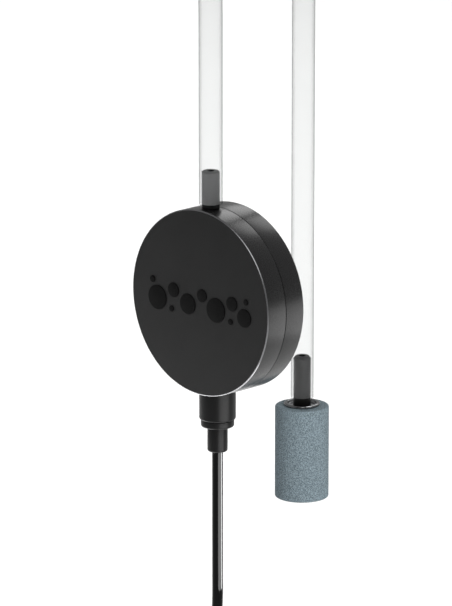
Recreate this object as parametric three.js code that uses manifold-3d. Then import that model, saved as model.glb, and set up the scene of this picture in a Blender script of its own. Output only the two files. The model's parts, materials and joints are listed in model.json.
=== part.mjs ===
// A silent aquarium air pump: a round two-shell casing that holds on to the glass by a hook-and-loop
// pad, a piezo diaphragm with two flap valves inside it, a clear air hose over the tank's rim to an
// air stone, and a thin low-voltage lead with its plug.
//
// Millimetres. Origin: the centre of the pad's face on the glass. +Y points into the glass, so the
// casing's face looks along -Y. +Z is up, +X is to the right of someone who faces the pump.
import * as THREE from 'three';
import { mergeVertices } from 'three/addons/utils/BufferGeometryUtils.js';
import Module from 'manifold-3d';

const wasm = await Module();
wasm.setup();

// ---- driving dimensions -------------------------------------------------------------------------

const CASING = {
  radius: 24,
  front: -16, // the face
  back: -3, // the side towards the glass
  faceWall: 1.5,
  rimWall: 1.8,
  bevel: 0.5,
  seam: -9.5,
  seamGap: 0.3,
  grooveRadius: 23.2, // the seal's groove runs from here to the rim's inner side
  grooveDepth: 0.4,
};
const PAD = { radius: 17, half: 1.45 }; // each half's thickness; a 0.1 mm gap is left between them
const SCREW = { circle: 19.6, post: 2.2, head: 1.7, shank: 0.75, clearance: 0.15 };
const NIPPLE = { y: -11.9, radius: 2.2, bore: 1.2, tip: 33.6, shoulder: 24.15, neck: 1.75 };
const HOSE = { radius: 3, bore: 2.35, start: 25.1 };
const BOSS = { y: -9.5, radius: 4.68, bottom: -31.45, neck: 3.2, flange: 4.2 };
const COLLAR = { radius: 4.25, top: -31.57, bottom: -33.4 };
const RELIEF = { radius: 2.6, top: -33.52, bottom: -40 };
const CORD = { radius: 1.4, sheathEnd: -18.2, bore: 1.65 };
const STONE = { x: -12, y: 34.57, radius: 7.1, top: -38.98, bottom: -63.86, bore: 1.9, boreDepth: 12 };
const STONE_NIPPLE = { radius: 2.2, bore: 1.2, tip: -25.55, spigot: 1.6, spigotLength: 11 };
const COIL = { z: -109, inner: 11.6, outer: 20.7, halfWidth: 5.85, round: 1.4 };
const PLUG = {
  x: -4.6,
  y: -19.65,
  top: -102.3, // where the lead ends
  relief: 7,
  width: 15.5,
  depth: 7.6,
  length: 16,
  shell: 12, // the shell is as wide as it is long
  shellDepth: 4.5,
};
const TIE = { width: 4.4, thick: 0.45, slack: 0.7, turn: 20 }; // slack is round the coil

// The stack inside, from the face to the back: each entry is [front, back] along Y.
const STACK = {
  radius: 15.5,
  valveBody: [-14.3, -11.65],
  valvePlate: [-11.5, -10.1],
  chamberGasket: [-10.0, -9.65],
  brass: [-9.3, -9.05],
  ceramic: [-9.0, -8.75],
  rearGasket: [-8.65, -8.3],
  clampRing: [-8.2, -7.0],
  board: [-6.0, -5.2],
};
const VALVE = { x: 5, radius: 2.2, thick: 0.3, port: 1.3, pocket: 3.1 };
const CLAMP_SCREW = { circle: 14.5, hole: 0.8, shank: 0.55, head: 0.95 };

// ---- colours ------------------------------------------------------------------------------------

const material = (color, roughness, metalness = 0) =>
  new THREE.MeshStandardMaterial({ color, roughness, metalness });
const LOOK = {
  casing: material(0x2d2d2d, 0.5),
  fitting: material(0x2a2a2a, 0.35),
  sheath: material(0x0c0c0c, 0.2),
  hose: Object.assign(material(0xf2f4f4, 0.1), { transparent: true, opacity: 0.3 }),
  stone: material(0x73878f, 0.95),
  darkMetal: material(0x3a3c3e, 0.25, 0.9),
  steel: material(0xb9bcc0, 0.3, 1),
  brass: material(0xc9a24a, 0.3, 1),
  ceramic: material(0xe6e2d6, 0.5),
  rubber: material(0x1b1b1b, 0.8),
  silicone: material(0xc8cdd0, 0.6),
  nylon: material(0xd9d7cf, 0.5),
  board: material(0x1e5a34, 0.5),
  chip: material(0x17181a, 0.45),
  felt: material(0xe4e2dc, 0.95),
  hooks: material(0x202020, 0.9),
  red: material(0xb02018, 0.4),
  black: material(0x111111, 0.4),
  gold: material(0xd4af37, 0.25, 1),
};

// ---- geometry helpers ---------------------------------------------------------------------------

const RING = { fine: 36, medium: 20, coarse: 10, tiny: 8 };

// A three.js geometry as a closed solid: shared vertices merged, slivers dropped, faces out.
function solid(geometry) {
  const plain = new THREE.BufferGeometry();
  plain.setAttribute('position', geometry.getAttribute('position').clone());
  if (geometry.index) plain.setIndex(geometry.index.clone());
  const merged = mergeVertices(plain, 1e-4);
  const index = merged.index.array;
  const triVerts = [];
  for (let i = 0; i < index.length; i += 3) {
    const [a, b, c] = [index[i], index[i + 1], index[i + 2]];
    if (a !== b && b !== c && c !== a) triVerts.push(a, b, c);
  }
  const vertProperties = new Float32Array(merged.getAttribute('position').array);
  const make = (faces) =>
    new wasm.Manifold(new wasm.Mesh({ numProp: 3, vertProperties, triVerts: new Uint32Array(faces) }));
  const made = make(triVerts);
  if (made.volume() > 0) return made;
  for (let i = 0; i < triVerts.length; i += 3) {
    [triVerts[i + 1], triVerts[i + 2]] = [triVerts[i + 2], triVerts[i + 1]];
  }
  return make(triVerts);
}

function geometryOf(made) {
  const { vertProperties, triVerts } = made.getMesh();
  const geometry = new THREE.BufferGeometry();
  geometry.setAttribute('position', new THREE.BufferAttribute(new Float32Array(vertProperties), 3));
  geometry.setIndex(new THREE.BufferAttribute(new Uint32Array(triVerts), 1));
  const flat = geometry.toNonIndexed();
  flat.computeVertexNormals();
  return flat;
}

const cut = (body, ...tools) => tools.reduce((left, tool) => left.subtract(tool), body);
const join = (body, ...others) => others.reduce((whole, other) => whole.add(other), body);

// A solid of revolution about the Y axis; the profile is a closed list of [radius, y].
function turnedY(profile, segments = RING.fine) {
  const points = profile.map(([r, y]) => new THREE.Vector2(r, y));
  points.push(points[0].clone());
  return solid(new THREE.LatheGeometry(points, segments));
}

// The same about a vertical axis through (x, y); the profile is a closed list of [radius, z].
function turnedZ(profile, x, y, segments = RING.medium) {
  const points = profile.map(([r, z]) => new THREE.Vector2(r, z));
  points.push(points[0].clone());
  const geometry = new THREE.LatheGeometry(points, segments);
  geometry.rotateX(Math.PI / 2).translate(x, y, 0);
  return solid(geometry);
}

const disc = (radius, [y0, y1], segments) =>
  turnedY([[0, y0], [radius, y0], [radius, y1], [0, y1]], segments);
const washer = (outer, inner, [y0, y1], segments) =>
  turnedY([[inner, y0], [outer, y0], [outer, y1], [inner, y1]], segments);

// Round bars along Y and along Z.
function barY(x, z, radius, [y0, y1], segments = RING.coarse) {
  return disc(radius, [y0, y1], segments).translate([x, 0, z]);
}
function barZ(x, y, radius, [z0, z1], segments = RING.coarse) {
  return turnedZ([[0, z0], [radius, z0], [radius, z1], [0, z1]], x, y, segments);
}

function box([x0, x1], [y0, y1], [z0, z1]) {
  const geometry = new THREE.BoxGeometry(x1 - x0, y1 - y0, z1 - z0);
  geometry.translate((x0 + x1) / 2, (y0 + y1) / 2, (z0 + z1) / 2);
  return solid(geometry);
}

// A flat outline in X and Z, thickened along Y.
function plate(shape, [y0, y1], curveSegments = 8) {
  const geometry = new THREE.ExtrudeGeometry(shape, { depth: y1 - y0, bevelEnabled: false, curveSegments });
  geometry.rotateX(Math.PI / 2).translate(0, y1, 0);
  return solid(geometry);
}

function circle(radius, hole = 0) {
  const shape = new THREE.Shape().absarc(0, 0, radius, 0, 2 * Math.PI);
  if (hole) shape.holes.push(new THREE.Path().absarc(0, 0, hole, 0, 2 * Math.PI, true));
  return shape;
}

// A rounded rectangle centred on the origin.
function roundedBox(width, height, corner) {
  const [w, h, r] = [width / 2, height / 2, corner];
  const shape = new THREE.Shape();
  shape.absarc(w - r, h - r, r, 0, Math.PI / 2);
  shape.absarc(r - w, h - r, r, Math.PI / 2, Math.PI);
  shape.absarc(r - w, r - h, r, Math.PI, 1.5 * Math.PI);
  shape.absarc(w - r, r - h, r, 1.5 * Math.PI, 2 * Math.PI);
  shape.closePath();
  return shape;
}

// A tube or bar of the given section, swept along a smooth curve through the points.
function swept(section, points, step, sides) {
  const curve = new THREE.CatmullRomCurve3(points.map((p) => new THREE.Vector3(...p)), false, 'centripetal');
  const steps = Math.max(2, Math.round(curve.getLength() / step));
  return solid(new THREE.ExtrudeGeometry(section, { steps, extrudePath: curve, curveSegments: sides / 2 }));
}

// Places on a circle in the casing's plane, as [x, z].
function around(radius, degrees) {
  return degrees.map((d) => {
    const a = THREE.MathUtils.degToRad(d);
    return [radius * Math.cos(a), radius * Math.sin(a)];
  });
}

const part = new THREE.Group();
function add(name, made, look) {
  const mesh = new THREE.Mesh(geometryOf(made), look);
  mesh.name = name;
  part.add(mesh);
}

// ---- holding on to the glass --------------------------------------------------------------------

function mountingPad() {
  add('wall_pad', disc(PAD.radius, [-PAD.half, 0], RING.fine), LOOK.hooks);
  add('pump_pad', disc(PAD.radius, [CASING.back + 0.05, CASING.back + PAD.half], RING.fine), LOOK.hooks);
}

// ---- casing -------------------------------------------------------------------------------------

const SCREW_PLACES = around(SCREW.circle, [45, 135, 225, 315]);
const INLET_PLACES = around(20.3, [172, 180, 188]);

function casing() {
  const { radius, front, back, faceWall, rimWall, bevel, seam, seamGap, grooveRadius, grooveDepth } = CASING;
  const inner = radius - rimWall;
  const neckHole = barZ(0, BOSS.y, BOSS.neck + 0.15, [-radius - 1, -inner + 1.5], RING.medium);

  // One shell: `face` is the outside of the flat wall, `land` the rim's end at the seam.
  const shell = (face, land, inwards) =>
    turnedY([
      [0, face],
      [radius - bevel, face],
      [radius - bevel * 0.3, face + inwards * bevel * 0.3],
      [radius, face + inwards * bevel],
      [radius, land],
      [grooveRadius, land],
      [grooveRadius, land - inwards * grooveDepth],
      [inner, land - inwards * grooveDepth],
      [inner, face + inwards * faceWall],
      [0, face + inwards * faceWall],
    ]);

  const frontLand = seam - seamGap / 2;
  const rearLand = seam + seamGap / 2;
  let frontCover = cut(
    shell(front, frontLand, 1),
    neckHole,
    barZ(0, NIPPLE.y, NIPPLE.neck + 0.2, [inner - 1.5, radius + 1], RING.medium),
  );
  let rearCover = cut(shell(back, rearLand, -1), neckHole);
  for (const [x, z] of SCREW_PLACES) {
    frontCover = join(frontCover, barY(x, z, SCREW.post, [front + 1, frontLand]));
    rearCover = join(rearCover, barY(x, z, SCREW.post, [rearLand, back - 1]));
  }
  for (const [x, z] of SCREW_PLACES) {
    const pilot = SCREW.shank + SCREW.clearance;
    frontCover = cut(frontCover, barY(x, z, pilot, [front + 2, seam]));
    const sink = turnedY([
      [0, seam],
      [pilot + 0.2, seam],
      [pilot + 0.2, back - 1.5],
      [SCREW.head + 0.15, back - 0.5],
      [SCREW.head + 0.15, back + 1],
      [0, back + 1],
    ], RING.coarse).translate([x, 0, z]);
    rearCover = cut(rearCover, sink);
  }
  for (const [x, z] of INLET_PLACES) {
    rearCover = cut(rearCover, barY(x, z, 0.7, [back - 3, back + 1], RING.tiny));
  }
  for (const [x, z] of around(11, [60, 180, 300])) {
    rearCover = join(rearCover, barY(x, z, 1.2, [STACK.board[1] + 0.1, back - 1], RING.tiny));
  }
  add('front_cover', frontCover, LOOK.casing);
  add('rear_cover', rearCover, LOOK.casing);

  const groove = [inner + 0.15, grooveRadius - 0.15];
  const seal = washer(groove[1], groove[0], [seam - 0.42, seam + 0.42], RING.fine);
  add('housing_seal', cut(seal, neckHole), LOOK.rubber);
}

function coverScrews() {
  SCREW_PLACES.forEach(([x, z], i) => {
    const head = CASING.back - 0.35;
    const screw = turnedY([
      [0, head],
      [SCREW.head, head],
      [SCREW.head, head - 0.2],
      [SCREW.shank, head - 1.2],
      [SCREW.shank, head - 9.2],
      [SCREW.shank * 0.5, head - 9.8],
      [0, head - 9.8],
    ], RING.coarse);
    const drive = barY(0, 0, 0.8, [head - 0.6, head + 1], 6);
    add(`cover_screw_${i + 1}`, cut(screw, drive).translate([x, 0, z]), LOOK.steel);
  });
}

function inletFilter() {
  const filter = box([-21.1, -19.2], [CASING.back - 3.1, CASING.back - CASING.faceWall - 0.1], [-4.4, 4.4]);
  add('inlet_filter', filter, LOOK.felt);
}

// ---- air side: valve body, valves and outlet ----------------------------------------------------

const CLAMP_PLACES = around(CLAMP_SCREW.circle, [90, 210, 330]);
const clampHoles = (from, to) => CLAMP_PLACES.map(([x, z]) => barY(x, z, CLAMP_SCREW.hole, [from, to]));

function valveBody() {
  const [y0, y1] = STACK.valveBody;
  const socket = box([-4, 4], [y0, -9.3], [16.2, 19.6]);
  const bridge = box([-4, 4], [y0, y1], [12, 17]);
  const outletPocket = barY(VALVE.x, 0, VALVE.pocket, [y1 - 1.8, y1 + 1], RING.medium);
  const inletPocket = barY(-VALVE.x, 0, VALVE.pocket, [y1 - 1.8, y1 + 1], RING.medium);
  const inletChannel = box([-STACK.radius - 1, -VALVE.x], [y1 - 1.8, y1 + 1], [-1.2, 1.2]);
  const gallery = box([0, VALVE.x], [y1 - 1.8, y1 - 0.4], [1.4, 3]);
  const riser = barZ(0, NIPPLE.y - 0.3, 0.9, [1.6, 20]);
  const spigotHole = barZ(0, NIPPLE.y, NIPPLE.neck + 0.2, [16.4, 20], RING.medium);
  const body = cut(
    join(disc(STACK.radius, [y0, y1], RING.fine), bridge, socket),
    outletPocket, inletPocket, inletChannel, gallery, riser, spigotHole, ...clampHoles(y0 + 0.6, y1 + 1),
  );
  add('valve_body', body, LOOK.nylon);
}

function outletNipple() {
  const { radius, bore, tip, shoulder, neck, y } = NIPPLE;
  const nipple = turnedZ([
    [bore, 16.7],
    [neck, 16.7],
    [neck, 20.8],
    [2.45, 20.8],
    [2.45, 21.6],
    [neck, 21.6],
    [neck, shoulder],
    [radius, shoulder],
    [radius, tip - 0.9],
    [radius - 0.5, tip],
    [bore, tip],
  ], 0, y, RING.medium);
  add('outlet_nipple', nipple, LOOK.fitting);
  const seal = turnedZ([[1.9, 19.8], [2.45, 19.8], [2.45, 20.6], [1.9, 20.6]], 0, y, RING.coarse);
  add('nipple_seal', seal, LOOK.rubber);
}

// A flap: a round lid with a tab on top, which turns about the tab's upper edge.
function flap(x, [y0, y1]) {
  const { radius } = VALVE;
  const shape = new THREE.Shape();
  shape.moveTo(1, 2.7);
  shape.lineTo(-1, 2.7);
  shape.lineTo(-1, 1.9);
  shape.absarc(0, 0, radius, THREE.MathUtils.degToRad(117), THREE.MathUtils.degToRad(423));
  shape.lineTo(1, 1.9);
  shape.closePath();
  return plate(shape, [y0, y1], 10).translate([x, 0, 0]);
}

function valves() {
  const { x, thick, port, pocket } = VALVE;
  const [y0, y1] = STACK.valvePlate;
  const valvePlate = cut(
    disc(STACK.radius, [y0, y1], RING.fine),
    barY(x, 0, port, [y0 - 1, y1 + 1]),
    barY(-x, 0, port, [y0 - 1, y1 + 1]),
    barY(-x, 0, pocket, [y1 - 0.9, y1 + 1], RING.medium),
    ...clampHoles(y0 - 1, y1 + 1),
  );
  add('valve_plate', valvePlate, LOOK.nylon);
  add('outlet_flap', flap(x, [y0 - 0.05 - thick, y0 - 0.05]), LOOK.silicone);
  add('inlet_flap', flap(-x, [y1 - 0.85, y1 - 0.85 + thick]), LOOK.silicone);
}

// ---- diaphragm ----------------------------------------------------------------------------------

function diaphragm() {
  add('chamber_gasket', washer(13.5, 12.4, STACK.chamberGasket), LOOK.rubber);
  add('diaphragm_disc', disc(13.3, STACK.brass, RING.fine), LOOK.brass);
  add('piezo_ceramic', disc(10, STACK.ceramic, RING.fine), LOOK.ceramic);
  const solder = (x, z, [y0, y1]) =>
    turnedY([[0, y0], [0.8, y0], [0.65, (y0 + y1) / 2], [0, y1]], RING.tiny).translate([x, 0, z]);
  add('solder_dot_1', solder(4, -6, [STACK.ceramic[1] + 0.05, STACK.ceramic[1] + 0.4]), LOOK.steel);
  add('solder_dot_2', solder(-4, -10.8, [STACK.brass[1] + 0.05, STACK.brass[1] + 0.4]), LOOK.steel);
  add('rear_gasket', washer(13.5, 12.4, STACK.rearGasket), LOOK.rubber);
  const ring = washer(STACK.radius, 12.4, STACK.clampRing);
  const [y0, y1] = STACK.clampRing;
  add('clamp_ring', cut(ring, ...clampHoles(y0 - 1, y1 + 1)), LOOK.nylon);
  CLAMP_PLACES.forEach(([x, z], i) => {
    const screw = turnedY([
      [0, y1 + 0.1],
      [CLAMP_SCREW.head, y1 + 0.1],
      [CLAMP_SCREW.head, y1 + 0.5],
      [CLAMP_SCREW.head * 0.6, y1 + 0.75],
      [0, y1 + 0.75],
    ], RING.coarse);
    const shank = disc(CLAMP_SCREW.shank, [STACK.valveBody[0] + 1, y1 + 0.2], RING.tiny);
    add(`clamp_screw_${i + 1}`, join(screw, shank).translate([x, 0, z]), LOOK.steel);
  });
}

// ---- electronics --------------------------------------------------------------------------------

function electronics() {
  const [face] = STACK.board;
  add('circuit_board', disc(14.5, STACK.board, RING.fine), LOOK.board);
  const onBoard = (x, z, width, height, high) =>
    box([x - width / 2, x + width / 2], [face - high, face - 0.05], [z - height / 2, z + height / 2]);
  add('driver_chip', onBoard(-3, 3, 4, 4, 0.9), LOOK.chip);
  const coil = roundedBox(5, 5, 1.2);
  add('boost_inductor', plate(coil, [face - 1.5, face - 0.05], 4).translate([4.5, 0, 4]), LOOK.chip);
  add('capacitor_1', onBoard(5, -1.6, 3.2, 1.7, 1.2), LOOK.brass);
  add('capacitor_2', onBoard(-4, -2.4, 3.2, 1.7, 1.2), LOOK.brass);
  const wire = (points, radius = 0.4) => swept(circle(radius), points, 1.2, 8);
  const leadEnd = face - 0.5;
  const toCeramic = [[4, -7.75, -6], [4.2, -7.5, -6.4], [5.2, -6.9, -6.9], [6.4, leadEnd, -7]];
  const toBrass = [[-4, -8.05, -10.8], [-4.2, -7.7, -10.3], [-5, -7, -9.4], [-6, leadEnd, -8.4]];
  add('piezo_lead_1', wire(toCeramic), LOOK.red);
  add('piezo_lead_2', wire(toBrass), LOOK.black);
  const inlet = (side) => [
    [side * 0.6, BOSS.y, -17.9],
    [side * 0.8, BOSS.y + 0.5, -17.3],
    [side * 1.5, -7.9, -16.9],
    [side * 2, -6.8, -16.2],
    [side * 2.2, leadEnd, -14],
    [side * 2.2, leadEnd, -12.2],
  ];
  add('power_wire_1', wire(inlet(1)), LOOK.red);
  add('power_wire_2', wire(inlet(-1)), LOOK.black);
}

// ---- where the lead enters ----------------------------------------------------------------------

function cableEntry() {
  const { bore } = CORD;
  const rimCylinder = disc(CASING.radius + 0.12, [CASING.front - 10, CASING.back + 10], RING.fine);
  const shoulder = turnedZ([
    [bore, BOSS.bottom],
    [BOSS.radius - 0.3, BOSS.bottom],
    [BOSS.radius, BOSS.bottom + 0.3],
    [BOSS.radius, -22],
    [bore, -22],
  ], 0, BOSS.y);
  const neck = turnedZ([
    [bore, -25],
    [BOSS.neck, -25],
    [BOSS.neck, -21.6],
    [BOSS.flange, -21.6],
    [BOSS.flange, -20.7],
    [bore, -20.7],
  ], 0, BOSS.y);
  add('cable_boss', join(cut(shoulder, rimCylinder), neck), LOOK.fitting);

  const ring = (r, top, bottom, round) =>
    turnedZ([[bore, top], [r, top], [r, bottom + round], [r - round, bottom], [bore, bottom]], 0, BOSS.y);
  add('gland_collar', ring(COLLAR.radius, COLLAR.top, COLLAR.bottom, 0.4), LOOK.fitting);
  add('strain_relief', ring(RELIEF.radius, RELIEF.top, RELIEF.bottom, 0.4), LOOK.fitting);
  const crimp = turnedZ([[bore, -20.4], [2.3, -20.4], [2.3, -18.7], [bore, -18.7]], 0, BOSS.y, RING.coarse);
  add('cord_crimp', crimp, LOOK.steel);
}

// ---- power lead ---------------------------------------------------------------------------------

// Down from inside the casing to where it joins the tied coil; the coil's top is below the last point.
const CORD_ROUTE = [
  [0, -9.5, CORD.sheathEnd],
  [0, -9.5, -26],
  [0, -9.5, -34],
  [0, -9.5, -42],
  [0, -9.5, -50],
  [0, -9.5, -58],
  [0, -9.5, -66],
  [0, -9.5, -74],
  [0, -9.45, -79],
  [0, -9.3, -82],
  [-0.5, -8.7, -85.2],
  [-0.8, -8.5, -86.1],
];
// From the coil's front to the plug's relief.
const TAIL_ROUTE = [
  [-2.9, -17.2, -96.8],
  [-3.8, -18.3, -98.4],
  [-4.4, -19.2, -100.2],
  [-4.6, -19.6, -102.1],
];

function powerLead() {
  add('power_cord', swept(circle(CORD.radius), CORD_ROUTE, 5, 8), LOOK.sheath);
  const { z, inner, outer, halfWidth, round } = COIL;
  const coil = turnedY([
    [inner, halfWidth - round],
    [inner + round, halfWidth],
    [outer - round, halfWidth],
    [outer, halfWidth - round],
    [outer, round - halfWidth],
    [outer - round, -halfWidth],
    [inner + round, -halfWidth],
    [inner, round - halfWidth],
  ], RING.fine).translate([0, BOSS.y, z]);
  add('cord_coil', coil, LOOK.sheath);
  add('cord_tail', swept(circle(CORD.radius), TAIL_ROUTE, 2, 8), LOOK.sheath);

  const { width, thick, slack, turn } = TIE;
  const block = (half, room) =>
    box([-half, half], [-halfWidth - room, halfWidth + room], [inner - room, outer + room]);
  const band = cut(block(width / 2, slack + thick), block(width, slack));
  const tie = band.rotate([0, turn, 0]).translate([0, BOSS.y, z]);
  add('cord_tie', tie, LOOK.rubber);
}

function plug() {
  const { x, y, top, relief, width, depth, length, shell, shellDepth } = PLUG;
  const sleeve = turnedZ([
    [0, top - 0.2],
    [2, top - 0.2],
    [2.8, top - relief],
    [0, top - relief],
  ], x, y, RING.coarse);
  add('plug_relief', sleeve, LOOK.sheath);

  // A bar with an X-Y outline that runs down from `from` to `to`.
  const down = (shape, from, to) => {
    const settings = { depth: from - to, bevelEnabled: false, curveSegments: 4 };
    return solid(new THREE.ExtrudeGeometry(shape, settings).translate(x, y, to));
  };
  const bodyTop = top - relief - 0.2;
  const bodyEnd = bodyTop - length;
  const shellEnd = bodyEnd - shell;
  const inside = (gap) => roundedBox(shell - 0.7 + gap, shellDepth - 0.7 + gap, 0.3);
  add('plug_body', down(roundedBox(width, depth, 1.8), bodyTop, bodyEnd), LOOK.sheath);
  const tube = cut(
    down(roundedBox(shell, shellDepth, 0.5), bodyEnd - 0.1, shellEnd),
    down(inside(0), bodyEnd - 1, shellEnd - 1),
  );
  add('plug_shell', tube, LOOK.steel);
  const tongue = box([x - 5.3, x + 5.3], [y - 0.1, y + 1.7], [shellEnd + 0.4, bodyEnd - 1.2]);
  add('plug_tongue', tongue, LOOK.nylon);
  [-3.5, -1, 1, 3.5].forEach((at, i) => {
    const long = i % 3 === 0 ? 0.4 : 1.2;
    const reach = [shellEnd + 0.6 + long, bodyEnd - 1.4];
    const contact = box([x + at - 0.5, x + at + 0.5], [y - 0.35, y - 0.15], reach);
    add(`plug_contact_${i + 1}`, contact, LOOK.gold);
  });
}

// ---- hose and air stone -------------------------------------------------------------------------

// Up from the pump's nipple, over the tank's rim in an arch and down to the air stone, as
// [share of the way from the pump's nipple to the stone's axis in mm, height].
const HOSE_SPAN = 48;
const HOSE_ROUTE = [
  [0, HOSE.start], [0, 36], [0, 48], [0, 60], [0, 72], [0, 82],
  [1.45, 90.2], [5.6, 97.4], [12, 102.8], [19.8, 105.6],
  [28.2, 105.6], [36, 102.8], [42.4, 97.4], [46.55, 90.2],
  [48, 82], [48, 70], [48, 58], [48, 46], [48, 34], [48, 22], [48, 10],
  [48, -2], [48, -14], [48, -26], [48, -36.77],
];

function airHose() {
  const points = HOSE_ROUTE.map(([along, z]) => [
    (STONE.x * along) / HOSE_SPAN,
    NIPPLE.y + ((STONE.y - NIPPLE.y) * along) / HOSE_SPAN,
    z,
  ]);
  add('air_hose', swept(circle(HOSE.radius, HOSE.bore), points, 10, 12), LOOK.hose);
}

function airStone() {
  const { x, y, radius, top, bottom, bore, boreDepth } = STONE;
  const round = 0.5;
  const stone = turnedZ([
    [0, bottom],
    [radius - round, bottom],
    [radius, bottom + round],
    [radius, top - round],
    [radius - round, top],
    [4.2, top],
    [4.2, top - 0.7],
    [bore, top - 0.7],
    [bore, top - boreDepth],
    [0, top - boreDepth],
  ], x, y, 32);
  add('air_stone', stone, LOOK.stone);

  const collar = turnedZ([
    [2.5, top - 0.5],
    [4, top - 0.5],
    [4, top + 0.15],
    [4.8, top + 0.15],
    [4.8, top + 0.55],
    [4.4, top + 0.9],
    [3.9, top + 0.7],
    [3.6, top + 0.1],
    [2.5, top + 0.1],
  ], x, y, RING.medium);
  add('stone_collar', collar, LOOK.darkMetal);

  const { radius: outer, bore: inner, tip, spigot, spigotLength } = STONE_NIPPLE;
  const nipple = turnedZ([
    [inner, top - spigotLength],
    [spigot, top - spigotLength],
    [spigot, top - 1],
    [outer, top - 0.35],
    [outer, tip - 1.1],
    [outer - 0.55, tip],
    [inner, tip],
  ], x, y, RING.medium);
  add('stone_nipple', nipple, LOOK.fitting);
}

mountingPad();
casing();
coverScrews();
inletFilter();
valveBody();
outletNipple();
valves();
diaphragm();
electronics();
cableEntry();
powerLead();
plug();
airHose();
airStone();

export default part;
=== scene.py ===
import json
import math

import bmesh
import bpy
import numpy as np
from mathutils import Matrix, Vector
from mathutils import noise as noise_of


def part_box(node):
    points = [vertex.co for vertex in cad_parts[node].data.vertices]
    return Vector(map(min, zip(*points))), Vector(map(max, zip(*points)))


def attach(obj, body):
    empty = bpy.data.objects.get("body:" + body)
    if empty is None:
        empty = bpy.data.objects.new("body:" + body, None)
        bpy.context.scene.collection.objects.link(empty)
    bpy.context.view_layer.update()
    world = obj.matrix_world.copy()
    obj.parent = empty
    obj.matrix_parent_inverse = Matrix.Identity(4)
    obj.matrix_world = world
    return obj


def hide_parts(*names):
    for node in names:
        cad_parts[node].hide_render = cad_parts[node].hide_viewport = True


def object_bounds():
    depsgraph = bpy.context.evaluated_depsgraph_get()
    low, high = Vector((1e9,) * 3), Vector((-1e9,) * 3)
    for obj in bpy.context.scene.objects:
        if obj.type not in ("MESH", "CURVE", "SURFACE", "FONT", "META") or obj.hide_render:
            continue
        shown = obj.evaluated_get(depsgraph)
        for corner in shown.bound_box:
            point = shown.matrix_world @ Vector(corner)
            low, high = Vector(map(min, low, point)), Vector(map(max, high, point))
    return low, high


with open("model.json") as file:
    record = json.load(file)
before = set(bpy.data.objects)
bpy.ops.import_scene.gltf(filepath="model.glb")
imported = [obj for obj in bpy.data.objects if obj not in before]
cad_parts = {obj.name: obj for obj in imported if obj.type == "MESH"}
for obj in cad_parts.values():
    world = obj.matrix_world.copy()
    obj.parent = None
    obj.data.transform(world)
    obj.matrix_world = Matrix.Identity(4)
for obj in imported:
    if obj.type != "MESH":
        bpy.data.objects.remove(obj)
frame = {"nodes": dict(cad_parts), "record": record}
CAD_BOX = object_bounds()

mm = 0.001
SHARP = math.radians(32)


# ---- places, from the frame ---------------------------------------------------------------------

def middle(node):
    low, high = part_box(node)
    return (low + high) / 2


CASING_LOW, CASING_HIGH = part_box("front_cover")
RADIUS = CASING_HIGH.x
FRONT = CASING_LOW.y
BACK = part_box("rear_cover")[1].y
SEAM = (CASING_HIGH.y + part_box("rear_cover")[0].y) / 2
NIPPLE = middle("outlet_nipple")
NIPPLE_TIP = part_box("outlet_nipple")[1].z
BOSS = middle("gland_collar")
STONE = middle("air_stone")
COIL = middle("cord_coil")
PLUG = middle("plug_body")


# ---- mesh helpers -------------------------------------------------------------------------------

def rounded(corners, steps=6):
    """A closed outline of (x, y, radius) corners, each rounded to its radius, as (x, y) points."""
    points = []
    for i, (x, y, radius) in enumerate(corners):
        here = np.array((x, y))
        before = np.array(corners[i - 1][:2]) - here
        after = np.array(corners[(i + 1) % len(corners)][:2]) - here
        if radius == 0:
            points.append(tuple(here))
            continue
        before, after = before / np.linalg.norm(before), after / np.linalg.norm(after)
        half = math.acos(np.clip(before @ after, -1, 1)) / 2
        centre = here + (before + after) / np.linalg.norm(before + after) * radius / math.sin(half)
        start = here + before * radius / math.tan(half) - centre
        end = here + after * radius / math.tan(half) - centre
        turn = math.atan2(start[0] * end[1] - start[1] * end[0], start @ end)
        for k in range(steps + 1):
            a = turn * k / steps
            spun = (start[0] * math.cos(a) - start[1] * math.sin(a),
                    start[0] * math.sin(a) + start[1] * math.cos(a))
            points.append(tuple(centre + spun))
    return points


def soften(mesh, angle=SHARP):
    """Smooth faces, with the edges sharper than the angle kept sharp."""
    shape = bmesh.new()
    shape.from_mesh(mesh)
    bmesh.ops.recalc_face_normals(shape, faces=shape.faces)
    for face in shape.faces:
        face.smooth = True
    for edge in shape.edges:
        edge.smooth = edge.is_manifold and edge.calc_face_angle(0) < angle
    shape.to_mesh(mesh)
    shape.free()


def piece(name, vertices, faces, look=None):
    mesh = bpy.data.meshes.new(name)
    mesh.from_pydata([tuple(v) for v in vertices], [], [tuple(f) for f in faces])
    mesh.validate()
    soften(mesh)
    made = bpy.data.objects.new(name, mesh)
    bpy.context.scene.collection.objects.link(made)
    if look:
        mesh.materials.append(look)
    return made


def revolve(name, outline, place=(0, 0, 0), axis="Z", segments=128, look=None):
    """A closed solid of revolution; the outline's points are (radius, height along the axis)."""
    vertices, rings = [], []
    for r, h in outline:
        count = 1 if r < 1e-9 else segments
        rings.append(range(len(vertices), len(vertices) + count))
        for k in range(count):
            a = 2 * math.pi * k / segments
            u, v = r * math.cos(a), r * math.sin(a)
            vertices.append((u, v, h) if axis == "Z" else (u, h, v))
    faces = []
    for below, above in zip(rings, rings[1:] + rings[:1]):
        if len(below) == len(above) == 1:
            continue
        for k in range(segments):
            n = (k + 1) % segments
            corners = [below[k % len(below)], below[n % len(below)],
                       above[n % len(above)], above[k % len(above)]]
            faces.append(list(dict.fromkeys(corners)))
    return piece(name, np.array(vertices) + np.array(place), faces, look)


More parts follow.
